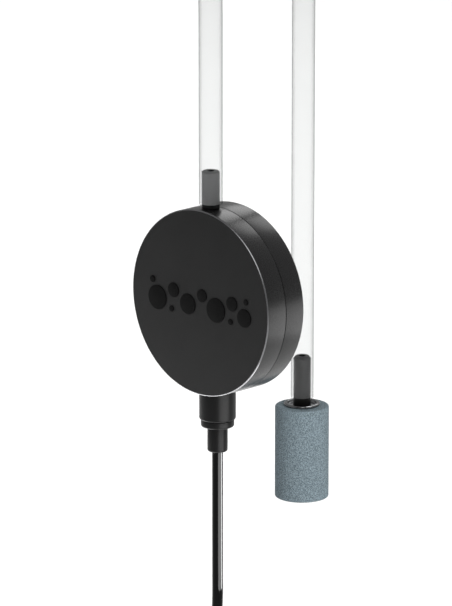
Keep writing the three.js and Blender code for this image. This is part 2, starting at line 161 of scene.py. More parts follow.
def smooth_line(points, spacing):
    """Points close together on a centripetal Catmull-Rom curve through the given ones."""
    p = np.array(points, float)
    p = np.vstack([2 * p[0] - p[1], p, 2 * p[-1] - p[-2]])
    line = []
    for a, b, c, d in zip(p, p[1:], p[2:], p[3:]):
        t1 = np.linalg.norm(b - a) ** 0.5
        t2 = t1 + np.linalg.norm(c - b) ** 0.5
        t3 = t2 + np.linalg.norm(d - c) ** 0.5
        for t in np.linspace(t1, t2, max(2, round(np.linalg.norm(c - b) / spacing)), endpoint=False):
            ab = a + (b - a) * t / t1
            bc = b + (c - b) * (t - t1) / (t2 - t1)
            cd = c + (d - c) * (t - t2) / (t3 - t2)
            abc = ab + (bc - ab) * t / t2
            bcd = bc + (cd - bc) * (t - t1) / (t3 - t1)
            line.append(abc + (bcd - abc) * (t - t1) / (t2 - t1))
    return np.array(line + [p[-2]])


def without_straights(line, longest=6 * mm):
    """The same line with few points on its straight stretches."""
    kept = [line[0]]
    for here, after in zip(line[1:], line[2:]):
        ahead, back = after - here, here - kept[-1]
        bend = np.linalg.norm(np.cross(ahead, back)) / np.linalg.norm(ahead) / np.linalg.norm(back)
        if bend > 0.002 or np.linalg.norm(back) > longest:
            kept.append(here)
    return np.array(kept + [line[-1]])


def frames_along(line):
    """The tangent and two side directions at each point, turned as little as possible."""
    tangents = np.gradient(line, axis=0)
    tangents /= np.linalg.norm(tangents, axis=1)[:, None]
    side = np.cross(tangents[0], (0.3, 1, 0.2))
    sides = []
    for t in tangents:
        side = side - (side @ t) * t
        side = side / np.linalg.norm(side)
        sides.append(side)
    return tangents, np.array(sides), np.cross(tangents, sides)


def sweep(name, line, radius, bore=0.0, sides=24, look=None):
    """A round bar along a line, or a tube with an open bore."""
    _, u, v = frames_along(line)
    angles = np.arange(sides) * 2 * math.pi / sides
    ring = np.cos(angles)[None, :, None] * u[:, None] + np.sin(angles)[None, :, None] * v[:, None]
    count = len(line)
    skins = [line[:, None] + ring * r for r in ((radius, bore) if bore else (radius,))]
    vertices = np.concatenate([s.reshape(-1, 3) for s in skins])
    at = lambda skin, i, k: (skin * count + i) * sides + k % sides
    faces = []
    for skin in range(len(skins)):
        for i in range(count - 1):
            faces += [[at(skin, i, k), at(skin, i, k + 1), at(skin, i + 1, k + 1), at(skin, i + 1, k)]
                      for k in range(sides)]
    for i in (0, count - 1):
        if bore:
            faces += [[at(0, i, k), at(0, i, k + 1), at(1, i, k + 1), at(1, i, k)]
                      for k in range(sides)]
        else:
            faces.append([at(0, i, k) for k in range(sides)])
    return piece(name, vertices, faces, look)


def cut(body, *tools, operation="DIFFERENCE"):
    """Cuts the tools out of the body, or joins them to it, and removes them."""
    for tool in tools:
        step = body.modifiers.new("cut", "BOOLEAN")
        step.object = tool
        step.operation = operation
        step.solver = "EXACT"
        bpy.context.view_layer.update()
        depsgraph = bpy.context.evaluated_depsgraph_get()
        mesh = bpy.data.meshes.new_from_object(body.evaluated_get(depsgraph))
        body.modifiers.clear()
        body.data = mesh
        bpy.data.objects.remove(tool)
    soften(body.data)
    return body


def join(body, *others):
    return cut(body, *others, operation="UNION")


def around(radius, degrees):
    return [(radius * math.cos(math.radians(d)), radius * math.sin(math.radians(d))) for d in degrees]


# ---- materials ----------------------------------------------------------------------------------

def material(name, color, roughness, metallic=0.0, **sockets):
    """A Principled material: its node tree, a function that adds a node, and the shader."""
    made = bpy.data.materials.new(name)
    made.use_nodes = True
    tree = made.node_tree
    shader = tree.nodes["Principled BSDF"]
    shader.inputs["Base Color"].default_value = (*color, 1)
    shader.inputs["Roughness"].default_value = roughness
    shader.inputs["Metallic"].default_value = metallic
    for socket, value in sockets.items():
        shader.inputs[socket.replace("_", " ")].default_value = value
    return made, tree, shader


def add(tree, kind, **settings):
    node = tree.nodes.new(kind)
    for name, value in settings.items():
        if name in node.inputs:
            node.inputs[name].default_value = value
        else:
            setattr(node, name, value)
    return node


def noise(tree, size, detail=2.0, stretch=(1, 1, 1)):
    """Noise whose grains are about `size` metres, in the object's own space."""
    place = add(tree, "ShaderNodeTexCoord")
    scaled = add(tree, "ShaderNodeMapping")
    scaled.inputs["Scale"].default_value = stretch
    texture = add(tree, "ShaderNodeTexNoise", Scale=1 / size, Detail=detail)
    tree.links.new(place.outputs["Object"], scaled.inputs["Vector"])
    tree.links.new(scaled.outputs["Vector"], texture.inputs["Vector"])
    return texture.outputs["Fac"]


def ramp(tree, factor, low, high, start=0.0, end=1.0):
    """The factor turned into a colour or a grey between two ends."""
    node = add(tree, "ShaderNodeValToRGB")
    ends = node.color_ramp.elements
    for element, position, value in zip(ends, (start, end), (low, high)):
        element.position = position
        element.color = (*value, 1) if hasattr(value, "__len__") else (value, value, value, 1)
    tree.links.new(factor, node.inputs["Fac"])
    return node.outputs["Color"]


def bump(tree, shader, height, depth, strength=1.0):
    node = add(tree, "ShaderNodeBump", Strength=strength, Distance=depth)
    tree.links.new(height, node.inputs["Height"])
    tree.links.new(node.outputs["Normal"], shader.inputs["Normal"])


def moulded(name, color, roughness, grain=0.18 * mm, depth=0.006 * mm, **sockets):
    """Moulded plastic: an even fine grain, with slightly uneven gloss and colour."""
    made, tree, shader = material(name, color, roughness, **sockets)
    fine = noise(tree, grain)
    broad = noise(tree, 9 * mm, 3)
    darker, lighter = (tuple(c * k for c in color) for k in (0.9, 1.1))
    tree.links.new(ramp(tree, broad, darker, lighter, 0.3, 0.7), shader.inputs["Base Color"])
    gloss = ramp(tree, fine, roughness - 0.05, roughness + 0.05, 0.3, 0.7)
    tree.links.new(gloss, shader.inputs["Roughness"])
    bump(tree, shader, fine, depth)
    return made


def varied(name, color, roughness, metallic=0.0, size=5 * mm, **sockets):
    """A smooth surface whose gloss and tone drift a little from place to place."""
    made, tree, shader = material(name, color, roughness, metallic, **sockets)
    drift = noise(tree, size, 3)
    darker, lighter = (tuple(c * k for c in color) for k in (0.9, 1.1))
    tree.links.new(ramp(tree, drift, darker, lighter, 0.3, 0.7), shader.inputs["Base Color"])
    gloss = ramp(tree, drift, roughness * 1.15, roughness * 0.85, 0.3, 0.7)
    tree.links.new(gloss, shader.inputs["Roughness"])
    return made


def clear_pvc():
    """Soft clear PVC: greyer where more of the wall is looked through, with painted shade along its
    outline, a base colour darkened by facing.
    """
    made, tree, shader = material("clear_pvc", (0.94, 0.95, 0.95), 0.0, IOR=1.001,
                                  Transmission_Weight=1.0, Coat_Weight=0.25, Coat_IOR=1.3)
    aside = add(tree, "ShaderNodeLayerWeight", Blend=0.5)
    skin = add(tree, "ShaderNodeAttribute", attribute_name="outer_skin")
    outline = add(tree, "ShaderNodeMath", operation="MULTIPLY")
    tree.links.new(aside.outputs["Facing"], outline.inputs[0])
    tree.links.new(skin.outputs["Fac"], outline.inputs[1])
    # Painted shade: the base colour turns dark towards the skins' outline, by facing.
    painted_outline_shade = ramp(tree, outline.outputs[0], (0.93, 0.935, 0.932), (0.1, 0.105, 0.105), 0.3, 1.0)
    tree.links.new(painted_outline_shade, shader.inputs["Base Color"])
    haze = add(tree, "ShaderNodeVolumeAbsorption", Density=45)
    haze.inputs["Color"].default_value = (0.02, 0.03, 0.03, 1)
    tree.links.new(haze.outputs["Volume"], tree.nodes["Material Output"].inputs["Volume"])
    return made


def sintered():
    """Blue-grey grit: fine grains, each a little lighter or darker, with painted shade in the pits
    between them, which also sink in by bump.
    """
    made, tree, shader = material("sintered_stone", (0.3, 0.4, 0.46), 0.9, Specular_IOR_Level=0.2)
    place = add(tree, "ShaderNodeTexCoord")
    grains = add(tree, "ShaderNodeTexVoronoi", Scale=1 / (0.12 * mm))
    tree.links.new(place.outputs["Object"], grains.inputs["Vector"])
    tone = ramp(tree, grains.outputs["Color"], (0.075, 0.1, 0.118), (0.31, 0.39, 0.428), 0.2, 0.8)
    # Painted shade: darker towards the grains' edges, in the pits between them.
    pore_shade = ramp(tree, grains.outputs["Distance"], 1.0, 0.7, 0.3, 0.8)
    mixed = add(tree, "ShaderNodeMix", data_type="RGBA", blend_type="MULTIPLY")
    mixed.inputs["Factor"].default_value = 1.0
    tree.links.new(tone, mixed.inputs["A"])
    tree.links.new(pore_shade, mixed.inputs["B"])
    tree.links.new(mixed.outputs["Result"], shader.inputs["Base Color"])
    bump(tree, shader, pore_shade, 0.015 * mm, 0.5)
    return made


def metal(name, color, roughness, scratch=0.25 * mm, stretch=(1, 1, 0.08)):
    """Metal with fine lines along Z."""
    made, tree, shader = material(name, color, roughness, 1.0)
    lines = noise(tree, scratch, 4, stretch)
    gloss = ramp(tree, lines, roughness * 0.75, roughness * 1.3, 0.3, 0.7)
    tree.links.new(gloss, shader.inputs["Roughness"])
    bump(tree, shader, lines, 0.002 * mm)
    return made


def tape():
    """Woven carrier tape: two crossed sets of threads."""
    made, tree, shader = material("hook_tape", (0.014, 0.014, 0.015), 0.85)
    place = add(tree, "ShaderNodeTexCoord")
    threads = []
    for direction in ("X", "Z"):
        wave = add(tree, "ShaderNodeTexWave", bands_direction=direction, Scale=300, Distortion=0.6)
        tree.links.new(place.outputs["Object"], wave.inputs["Vector"])
        threads.append(wave.outputs["Fac"])
    weave = add(tree, "ShaderNodeMath", operation="MULTIPLY")
    tree.links.new(threads[0], weave.inputs[0])
    tree.links.new(threads[1], weave.inputs[1])
    tree.links.new(ramp(tree, weave.outputs[0], 0.006, 0.03), shader.inputs["Base Color"])
    bump(tree, shader, weave.outputs[0], 0.08 * mm)
    return made


FACE = moulded("face_plastic", (0.010, 0.010, 0.0102), 0.5, Specular_IOR_Level=0.3)
BEVEL = varied("polished_edge", (0.24, 0.24, 0.248), 0.2, 1.0)
RIM = moulded("rim_plastic", (0.008, 0.008, 0.0082), 0.27, depth=0.001 * mm)
MOTIF = moulded("motif_plastic", (0.003, 0.003, 0.0031), 0.5, Specular_IOR_Level=0.1)
FITTING = moulded("fitting_plastic", (0.010, 0.010, 0.0102), 0.36, depth=0.001 * mm,
                  Specular_IOR_Level=0.15)
# Painted light: lighter copies of the black fitting plastic for the spigots inside the hose, standing
# in for the hose's veil and for lamp light the hose blocks.
NIPPLE_PAINTED_LIGHT = varied("nipple_painted_light", (0.17, 0.17, 0.173), 0.4, Specular_IOR_Level=0.25)
SPIGOT_PAINTED_LIGHT = varied("spigot_painted_light", (0.34, 0.34, 0.345), 0.4, Specular_IOR_Level=0.25)
SHEATH = varied("cord_sheath", (0.002, 0.002, 0.002), 0.07, Specular_IOR_Level=0.12)
PLUG_PLASTIC = moulded("plug_plastic", (0.011, 0.011, 0.0112), 0.42)
RUBBER = moulded("rubber", (0.012, 0.012, 0.012), 0.7)
NYLON = moulded("nylon", (0.68, 0.67, 0.62), 0.45, Subsurface_Weight=0.1)
SILICONE = moulded("silicone", (0.6, 0.63, 0.65), 0.5)
BOARD = moulded("solder_mask", (0.015, 0.11, 0.04), 0.3, grain=1.2 * mm)
CHIP = moulded("moulding_compound", (0.012, 0.012, 0.013), 0.5)
CAPACITOR = moulded("capacitor_ceramic", (0.42, 0.27, 0.1), 0.45)
FELT = moulded("felt", (0.72, 0.71, 0.68), 0.95, grain=0.3 * mm, depth=0.15 * mm)
RED = moulded("red_insulation", (0.35, 0.015, 0.01), 0.35)
BLACK = moulded("black_insulation", (0.008, 0.008, 0.008), 0.35)
CERAMIC = moulded("piezo_ceramic", (0.72, 0.69, 0.6), 0.4)
PVC = clear_pvc()
GRIT = sintered()
TAPE = tape()
HOOKS = moulded("hook_plastic", (0.016, 0.016, 0.017), 0.4)
FOAM = moulded("adhesive_foam", (0.11, 0.11, 0.115), 0.8, grain=0.5 * mm, depth=0.02 * mm)
DARK_METAL = varied("dark_nickel", (0.2, 0.204, 0.21), 0.12, 1.0, size=2 * mm)
STEEL = metal("zinc_plate", (0.55, 0.56, 0.57), 0.3)
BRASS = metal("brass", (0.62, 0.43, 0.15), 0.28)
GOLD = metal("gold_plate", (0.75, 0.52, 0.16), 0.22)


# ---- camera and light ---------------------------------------------------------------------------

CAMERA_AZIMUTH, CAMERA_ELEVATION, CAMERA_DISTANCE = 44.247, 14.355, 1.2
SENSOR_WIDTH, FOCAL_LENGTH = 36, 282.95  # mm
WORLD_LIGHT = 0.36
FLOOR_CLEARANCE, FLOOR_HALF_WIDTH = 6 * mm, 12.0


def camera():
    """The camera of a long lens, 1.2 m away, a little above the pump and well to its right."""
    azimuth, elevation = math.radians(CAMERA_AZIMUTH), math.radians(CAMERA_ELEVATION)
    across, up = -6.694 * mm, -0.073 * mm  # where the face's centre lies in the picture plane
    right = Vector((math.cos(azimuth), math.sin(azimuth), 0))
    ahead = Vector((-math.sin(azimuth) * math.cos(elevation), math.cos(azimuth) * math.cos(elevation),
                    -math.sin(elevation)))
    above = right.cross(ahead)
    data = bpy.data.cameras.new("camera")
    data.sensor_width, data.lens = SENSOR_WIDTH, FOCAL_LENGTH
    data.clip_start, data.clip_end = 0.05, 60
    made = bpy.data.objects.new("camera", data)
    target = Vector((0, FRONT, 0))
    made.location = target - across * right - up * above - CAMERA_DISTANCE * ahead
    made.rotation_mode = "QUATERNION"
    made.rotation_quaternion = Matrix((right, above, -ahead)).transposed().to_quaternion()
    bpy.context.scene.collection.objects.link(made)
    bpy.context.scene.camera = made


def softbox(name, place, size, radiance, towards=(0, 0, 0), seen_by="glossy"):
    """A rectangular light facing a point; it lights surfaces softly, or only shows in their gloss."""
    data = bpy.data.lights.new(name, "AREA")
    data.shape = "RECTANGLE"
    data.size, data.size_y = size
    data.energy = radiance * math.pi * size[0] * size[1]
    made = bpy.data.objects.new(name, data)
    made.location = place
    made.rotation_mode = "QUATERNION"
    made.rotation_quaternion = (Vector(towards) - Vector(place)).to_track_quat("-Z", "Y")
    made.visible_camera = False
    made.visible_transmission = False
    made.visible_glossy = seen_by == "glossy"
    made.visible_diffuse = seen_by == "diffuse"
    bpy.context.scene.collection.objects.link(made)
    return made


def direction(azimuth, elevation, distance):
    """A place seen from the casing's centre: azimuth from +X towards +Y, elevation from level."""
    a, e = math.radians(azimuth), math.radians(elevation)
    return Vector((math.cos(e) * math.cos(a), math.cos(e) * math.sin(a), math.sin(e))) * distance


def lit(light, *pieces, link_state="INCLUDE"):
    """The light reaches only these pieces, or all but these."""
    receivers = bpy.data.collections.new(light.name)
    for made in pieces:
        receivers.objects.link(made)
    light.light_linking.receiver_collection = receivers
    for member in receivers.collection_objects:
        member.light_linking.link_state = link_state


def studio(covers, stone, grommet, lead, fittings):
    world = bpy.data.worlds.new("studio")
    world.use_nodes = True
    background = world.node_tree.nodes["Background"]
    background.inputs["Color"].default_value = (1, 1, 1, 1)
    background.inputs["Strength"].default_value = WORLD_LIGHT
    bpy.context.scene.world = world
    bpy.context.scene.view_settings.view_transform = "Standard"

    drop, far = CAD_BOX[0].z - FLOOR_CLEARANCE, FLOOR_HALF_WIDTH
    corners = [(-far, -far, drop), (far, -far, drop), (far, far, drop), (-far, far, drop)]
    floor = piece("floor", corners, [(0, 1, 2, 3)])
    made, tree, shader = material("pale_floor", (0.86, 0.86, 0.86), 0.8, Specular_IOR_Level=0.1)
    tree.links.new(ramp(tree, noise(tree, 0.4, 2), 0.85, 0.87, 0.3, 0.7), shader.inputs["Base Color"])
    floor.data.materials.append(made)

    # The long overhead light that makes the floor behind the pump white.
    over = softbox("over", (-0.42, 0.43, 0.75), (0.7, 1.8), 3.45, seen_by="diffuse")
    over.rotation_quaternion = Matrix.Rotation(math.radians(CAMERA_AZIMUTH), 3, "Z").to_quaternion()
    lit(over, stone, link_state="EXCLUDE")
    grit = softbox("grit", direction(-18, 28, 0.7), (0.25, 0.25), 25.0, seen_by="diffuse")
    lit(grit, stone)

    # What the gloss shows: two lights for every piece, and the rest each for a few.
    softbox("high", direction(-62, 40, 0.9), (0.8, 0.6), 1.8)
    softbox("behind", direction(114, 36, 0.8), (0.5, 0.42), 2.0)
    below = softbox("below", (-0.05, -0.01, -0.142), (0.26, 0.1), 4.2, towards=(-0.05, -0.009, 0))
    lit(below, *covers, *fittings)
    beside, strip, level = (0.19, -0.02, -0.103), (0.22, 0.074), (0, -0.01, -0.103)
    lit(softbox("broad", beside, strip, 17.0, towards=level), lead)
    lit(softbox("fitting", beside, strip, 7.5, towards=level), *fittings)
    narrow = softbox("narrow", (0.137, 0.137, -0.112), (0.07, 0.056), 60.0,
                     towards=(0, -0.01, -0.112))
    lit(narrow, lead)
    lit(softbox("rolled_edge", direction(40, 60, 0.6), (0.22, 0.22), 7.0), grommet)
    lit(softbox("low_right", direction(51, -18, 0.2), (0.2, 0.1), 1.3), *covers)


# ---- cords --------------------------------------------------------------------------------------

HOSE_SPAN = 48.0
# Up from the pump's nipple, over the tank's rim and down to the stone: mm along the way, and height.
HOSE_ROUTE = [
    (0, 25.1), (0, 36), (0, 48), (0, 60), (0, 72), (0, 82),
    (1.45, 90.2), (5.6, 97.4), (12, 102.8), (19.8, 105.6),
    (28.2, 105.6), (36, 102.8), (42.4, 97.4), (46.55, 90.2),
    (48, 82), (48, 70), (48, 58), (48, 46), (48, 34), (48, 22), (48, 10),
    (48, -2), (48, -14), (48, -26), (48, -36.77),
]
# Down from inside the casing and sideways into the coil's outermost turn.
CORD_ROUTE = [
    (0, -9.5, -18.2), (0, -9.5, -26), (0, -9.5, -34), (0, -9.5, -42), (0, -9.5, -50), (0, -9.5, -58),
    (0, -9.5, -66), (0, -9.5, -74), (0, -9.5, -78.5), (-0.35, -9.3, -82), (-1.4, -8.6, -85.2),
    (-3.4, -7.5, -88), (-6.2, -6.2, -90.2),
]
# From the coil's front to the plug's relief.
TAIL_ROUTE = [
    (6.5, -14.2, -93.9), (3.2, -15.0, -93), (0.2, -16.1, -93.4), (-2.3, -17.4, -95.2),
    (-3.8, -18.6, -97.9), (-4.5, -19.4, -101), (-4.6, -19.65, -104.5),
]
CORD_DIAMETER = 2.8 * mm
HOSE_DIAMETER = 6 * mm
HOSE_BORE_RADIUS = 2.3 * mm
INNER_SKIN_PAINTED_SHADE = 0.3  # how strong the painted shade along the bore's outline is, beside the outer skin's

# The coil, in the order it is wound: radii of its turns, and how far each layer is behind its middle.
TURN_RADII = [13.35 * mm, 16.3 * mm, 19.25 * mm]
LAYERS = [4.35 * mm, 1.45 * mm, -1.45 * mm, -4.35 * mm]
TURNS = 11
FIRST_ANGLE, LAST_ANGLE = 120, 58
# Where a turn moves over to the next one's place, in shares of a turn.
CROSSING_STARTS, CROSSING_LASTS = 0.5, 0.34


def air_hose():
    start = Vector((NIPPLE.x, NIPPLE.y))
    way = (Vector((STONE.x, STONE.y)) - start) / HOSE_SPAN
    points = [(start.x + way.x * along, start.y + way.y * along, z * mm) for along, z in HOSE_ROUTE]
    line = without_straights(smooth_line(points, 1.2 * mm))
    hose = sweep("clear_air_hose", line, HOSE_DIAMETER / 2, HOSE_BORE_RADIUS, 96, PVC)
    skin = hose.data.attributes.new("outer_skin", "FLOAT", "POINT")
    count = len(hose.data.vertices) // 2
    # The outer skin gets the full painted shade along its outline, the bore's skin a weaker one.
    skin.data.foreach_set("value", [1.0] * count + [INNER_SKIN_PAINTED_SHADE] * count)
    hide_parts("air_hose")
    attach(hose, "air_line")


def coil_turns():
    """The wound turns: layer by layer from the back to the front, inwards and outwards by turns."""
    places = []
    for number, layer in enumerate(LAYERS):
        places += [(r, layer) for r in (TURN_RADII if number % 2 else TURN_RADII[::-1])]
    places = places[:TURNS]
    steps = 72
    line = []
    for turn, (r, y) in enumerate(places):
        last = turn == len(places) - 1
        after_r, after_y = places[turn if last else turn + 1]
        for step in range(steps):
            share = step / steps
            angle = FIRST_ANGLE + 360 * share
            if last and angle > 360 + LAST_ANGLE:
                break
            move = np.clip((share - CROSSING_STARTS) / CROSSING_LASTS, 0, 1)
            move = move * move * (3 - 2 * move)
            radius = r + (after_r - r) * move
            line.append((COIL.x + radius * math.cos(math.radians(angle)),
                         COIL.y + y + (after_y - y) * move,
                         COIL.z + radius * math.sin(math.radians(angle))))
    return line


def power_lead():
    straight = [tuple(v * mm for v in p) for p in CORD_ROUTE]
    tail = [tuple(v * mm for v in p) for p in TAIL_ROUTE]
    line = smooth_line([*straight, *coil_turns(), *tail], 1.1 * mm)
    lead = sweep("power_lead", line, CORD_DIAMETER / 2, sides=20, look=SHEATH)
    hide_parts("power_cord", "cord_coil", "cord_tail")
    return lead, line


# ---- casing -------------------------------------------------------------------------------------

RIM_WALL = 1.8 * mm
FACE_WALL = 1.5 * mm
SEAM_HALF_GAP = 0.1 * mm
SCREWS = around(19.6 * mm, (45, 135, 225, 315))
SCREW_BORE = 0.9 * mm
INLETS = around(20.3 * mm, (172, 180, 188))
INLET_BORE = 0.7 * mm
NIPPLE_HOLE = 1.95 * mm
NECK_HOLE = 3.3 * mm


def rod(place, radius, low, high, axis="Z", segments=48):
    """A plain round bar, for joining and cutting; `place` is its axis's two other coordinates."""
    where = (place[0], place[1], 0) if axis == "Z" else (place[0], 0, place[1])
    return revolve("rod", [(0, low), (radius, low), (radius, high), (0, high)], where, axis, segments)


def shell(name, face, land, inwards, look, face_look):
    """Half of the casing: a flat wall with a rounded edge, and a rim that ends at the seam."""
    inner = RADIUS - RIM_WALL
    groove = 0.4 * mm
    outline = rounded([
        (0, face, 0),
        (RADIUS, face, 0.38 * mm),
        (RADIUS, land, 0.05 * mm),
        (inner + 1.0 * mm, land, 0),
        (inner + 1.0 * mm, land - inwards * groove, 0),
        (inner, land - inwards * groove, 0),
        (inner, face + inwards * FACE_WALL, 0.5 * mm),
        (0, face + inwards * FACE_WALL, 0),
    ])
    made = revolve(name, outline, axis="Y", segments=256, look=look)
    for x, z in SCREWS:
        made = join(made, rod((x, z), 2.2 * mm, *sorted((face + inwards * 1 * mm, land)), axis="Y"))
    made = cut(made, rod((BOSS.x, BOSS.y), NECK_HOLE, -RADIUS - 1 * mm, 2 * mm - inner))
    made.data.materials.append(face_look)
    made.data.materials.append(BEVEL)
    return made


def paint_face(cover, face):
    """The flat outer wall has the second material, matter than the rim's; the bevel has the third."""
    for polygon in cover.data.polygons:
        if abs(polygon.center.y - face) < 0.01 * mm and abs(polygon.normal.y) > 0.99:
            polygon.material_index = 1
        elif abs(polygon.center.y - face) < 0.5 * mm and 0.3 < abs(polygon.normal.y) < 0.99:
            polygon.material_index = 2


def casing():
    front = shell("front_shell", FRONT, SEAM - SEAM_HALF_GAP, 1, RIM, FACE)
    front = cut(front, rod((NIPPLE.x, NIPPLE.y), NIPPLE_HOLE, RADIUS - 4 * mm, RADIUS + 1 * mm))
    for x, z in SCREWS:
        front = cut(front, rod((x, z), SCREW_BORE, FRONT + 2 * mm, SEAM, axis="Y"))
    paint_face(front, FRONT)
    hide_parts("front_cover")

    rear = shell("rear_shell", BACK, SEAM + SEAM_HALF_GAP, -1, RIM, FACE)
    countersink = [
        (0, SEAM),
        (1.15 * mm, SEAM),
        (1.15 * mm, BACK - 1.5 * mm),
        (1.85 * mm, BACK - 0.7 * mm),
        (1.85 * mm, BACK + 1 * mm),
        (0, BACK + 1 * mm),
    ]
    for x, z in SCREWS:
        rear = cut(rear, revolve("sink", countersink, (x, 0, z), "Y", 48))
    for x, z in INLETS:
        rear = cut(rear, rod((x, z), INLET_BORE, BACK - 3 * mm, BACK + 1 * mm, axis="Y", segments=32))
    paint_face(rear, BACK)
    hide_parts("rear_cover")
    for cover in (front, rear):
        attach(cover, "pump")
    return front, rear


# The relief on the face, in mm: where each bubble's middle is, and its radius.
BUBBLES = [
    (-14.9, -1.0, 3.2), (-9.2, 1.9, 1.9), (-4.1, -0.9, 2.7), (0.9, 2.1, 1.7),
    (5.8, -0.8, 3.2), (11.4, 1.8, 1.9), (15.7, -1.1, 2.4), (-16.6, 3.5, 0.9),
    (-9.9, -3.1, 0.8), (10.9, -2.9, 0.8), (16.3, 3.1, 0.8),
]
BUBBLE_HEIGHT, BUBBLE_ROOT = 0.22 * mm, 0.1 * mm


def bubbles():
    """A plain relief on the face: a drift of low flat-topped bubbles."""
    made = []
    for x, z, radius in BUBBLES:
        outline = rounded([
            (0, FRONT + BUBBLE_ROOT, 0),
            (0, FRONT - BUBBLE_HEIGHT, 0),
            (radius * mm, FRONT - BUBBLE_HEIGHT, 0.12 * mm),
            (radius * mm, FRONT + BUBBLE_ROOT, 0),
        ], 4)
        made.append(revolve("bubble", outline, (x * mm, 0, z * mm), "Y", 64, MOTIF))
    motif = made[0]
    with bpy.context.temp_override(active_object=motif, selected_editable_objects=made):
        bpy.ops.object.join()
    motif.name = "bubble_motif"
    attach(motif, "pump")


def cover_screws():
    for number, (x, z) in enumerate(SCREWS, 1):
        head = BACK - 0.35 * mm
        outline = rounded([
            (0, head, 0),
            (1.7 * mm, head, 0.12 * mm),
            (1.7 * mm, head - 0.25 * mm, 0),
            (0.75 * mm, head - 1.2 * mm, 0),
            (0.75 * mm, head - 9.2 * mm, 0),
            (0.35 * mm, head - 9.8 * mm, 0),
            (0, head - 9.8 * mm, 0),
        ])
        screw = revolve(f"cover_screw_head_{number}", outline, (x, 0, z), "Y", 48, STEEL)
        screw = cut(screw, rod((x, z), 0.85 * mm, head - 0.7 * mm, head + 1 * mm, "Y", 6))
        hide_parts(f"cover_screw_{number}")
        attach(screw, "pump")


# ---- what stands out of the casing --------------------------------------------------------------

AIRWAY, SPIGOT_RADIUS = 0.95 * mm, 2.28 * mm


def fine_turned(name, node, outline, place, look, body, segments=96):
    """A turned piece with rounded edges, on its CAD node's axis and in its place."""
    made = revolve(name, rounded(outline), (place.x, place.y, 0), "Z", segments, look)
    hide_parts(node)
    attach(made, body)
    return made


def root_below_painted_light(spigot, hose_end):
    """Painted light: above the hose's end the spigot keeps a lighter copy of the black plastic,
    standing in for the hose's veil of reflections and for lamp light that doesn't reach through the
    hose; below it the bare root gets the plain black fitting plastic.
    """
    spigot.data.materials.append(FITTING)
    for polygon in spigot.data.polygons:
        if polygon.center.z < hose_end:
            polygon.material_index = 1


def outlet():
    tip = NIPPLE_TIP
    outline = [
        (AIRWAY, 16.7 * mm, 0),
        (1.75 * mm, 16.7 * mm, 0),
        (1.75 * mm, 20.8 * mm, 0),
        (2.45 * mm, 20.8 * mm, 0),
        (2.45 * mm, 21.6 * mm, 0),
        (1.75 * mm, 21.6 * mm, 0),
        (1.75 * mm, RADIUS + 0.05 * mm, 0),
        (SPIGOT_RADIUS, RADIUS + 0.05 * mm, 0.08 * mm),
        (SPIGOT_RADIUS, RADIUS + 1.1 * mm, 0),
        (SPIGOT_RADIUS, tip - 0.28 * mm, 0.08 * mm),
        (1.95 * mm, tip, 0.06 * mm),
        (AIRWAY, tip, 0.1 * mm),
    ]
    # The part inside the hose has the painted light copy of the black plastic.
    spigot = fine_turned("outlet_spigot", "outlet_nipple", outline, NIPPLE, SPIGOT_PAINTED_LIGHT,
                         "pump")
    root_below_painted_light(spigot, HOSE_ROUTE[0][1] * mm)


def cable_entry():
    """The boss under the casing, with a neck and flange inside it, and the two rings below it."""
    bore, axis = 1.5 * mm, (BOSS.x, BOSS.y, 0)
    low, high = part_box("cable_boss")
    top, bottom, wide = -22 * mm, low.z, (high.x - low.x) / 2
    shoulder = revolve("cable_boss_body", rounded([
        (bore, bottom, 0.1 * mm),
        (wide, bottom, 0.5 * mm),
        (wide, top, 0),
        (bore, top, 0),
    ]), axis, "Z", 128, FITTING)
    round_casing = rod((0, 0), RADIUS + 0.03 * mm, FRONT - 10 * mm, BACK + 10 * mm, "Y", 256)
    boss = cut(shoulder, round_casing)
    neck, flange = 3.2 * mm, 4.2 * mm
    boss = join(boss, revolve("neck", [
        (bore, -25 * mm),
        (neck, -25 * mm),
        (neck, -21.6 * mm),
        (flange, -21.6 * mm),
        (flange, -20.7 * mm),
        (bore, -20.7 * mm),
    ], axis, "Z", 96))
    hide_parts("cable_boss")
    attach(boss, "pump")
    made = [boss]
    rings = (("gland_ring", "gland_collar", 0.5), ("relief_sleeve", "strain_relief", 0.55))
    for name, node, edge in rings:
        low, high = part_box(node)
        radius = (high.x - low.x) / 2
        outline = [
            (bore, low.z, 0.25 * mm if node == "strain_relief" else 0),
            (radius, low.z, edge * mm),
            (radius, high.z + 0.06 * mm, 0.12 * mm),
            (bore, high.z + 0.06 * mm, 0),
        ]
        made.append(fine_turned(name, node, outline, BOSS, FITTING, "pump"))
    return made


# ---- air stone ----------------------------------------------------------------------------------

# Where the stone's grains push its surface out and in.
GRAIN_SIZE, GRAIN_HEIGHT, GRAIN_SINK = 0.17 * mm, 0.018, 0.006


